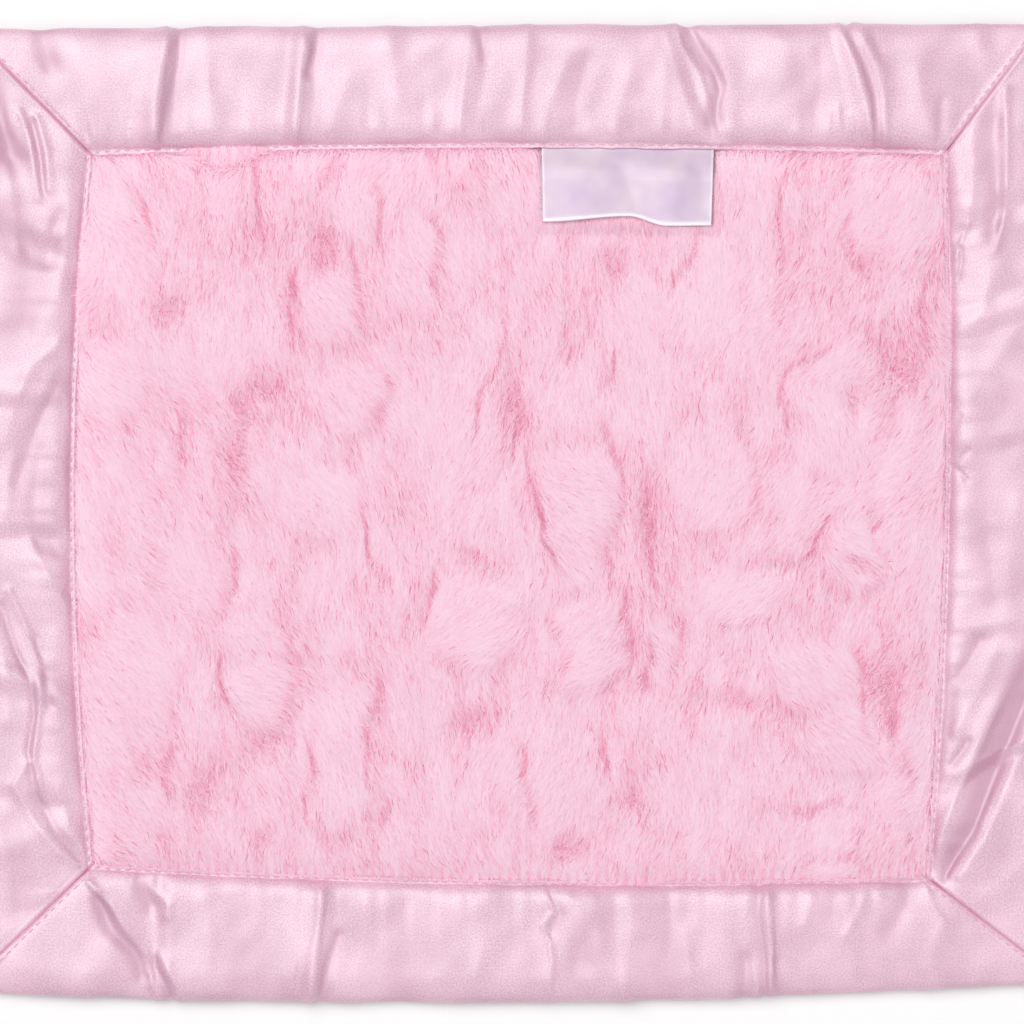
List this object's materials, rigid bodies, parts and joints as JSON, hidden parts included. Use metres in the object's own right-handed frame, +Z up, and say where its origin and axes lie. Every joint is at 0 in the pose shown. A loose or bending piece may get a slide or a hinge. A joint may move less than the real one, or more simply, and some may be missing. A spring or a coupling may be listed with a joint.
{
  "type": "comfort blanket",
  "caption": "Small baby comfort blanket: plush fur panel with a smooth plush back, a folded and mitred satin binding, and a loop label sewn into the top seam.",
  "frame": {"origin": "centre of the outline, on the surface the blanket lies on", "axes": "+Z up out of the fur side, +Y towards the edge with the label, +X to the right seen from above"},
  "size_m": [0.4154, 0.3646, 0.0134],
  "materials": {
    "front_fur": "long soft pile, rose pink",
    "back_plush": "short smooth pile, rose pink",
    "satin": "satin weave with a silky sheen, pale pink",
    "label_ribbon": "woven satin ribbon, lilac white, bare",
    "thread": "spun sewing thread, darker pink"
  },
  "bodies": {
    "blanket": {"back_panel": "back_plush", "fur_panel": "front_fur", "binding_top": "satin", "binding_right": "satin", "binding_bottom": "satin", "binding_left": "satin", "label_tab": "label_ribbon", "needle_thread_top": "thread", "needle_thread_right": "thread", "needle_thread_bottom": "thread", "needle_thread_left": "thread", "bobbin_thread_top": "thread", "bobbin_thread_right": "thread", "bobbin_thread_bottom": "thread", "bobbin_thread_left": "thread", "mitre_thread_top_left": "thread", "mitre_thread_top_right": "thread", "mitre_thread_bottom_left": "thread", "mitre_thread_bottom_right": "thread"},
    "label": {"label_flap": "label_ribbon"}
  },
  "joints": [
    {"name": "label_flip", "type": "hinge", "parent": "blanket", "child": "label", "pos_m": [0.04448, 0.13312, 0.0047], "axis": [-1, 0.0091, 0], "range_deg": [0, 125]}
  ]
}
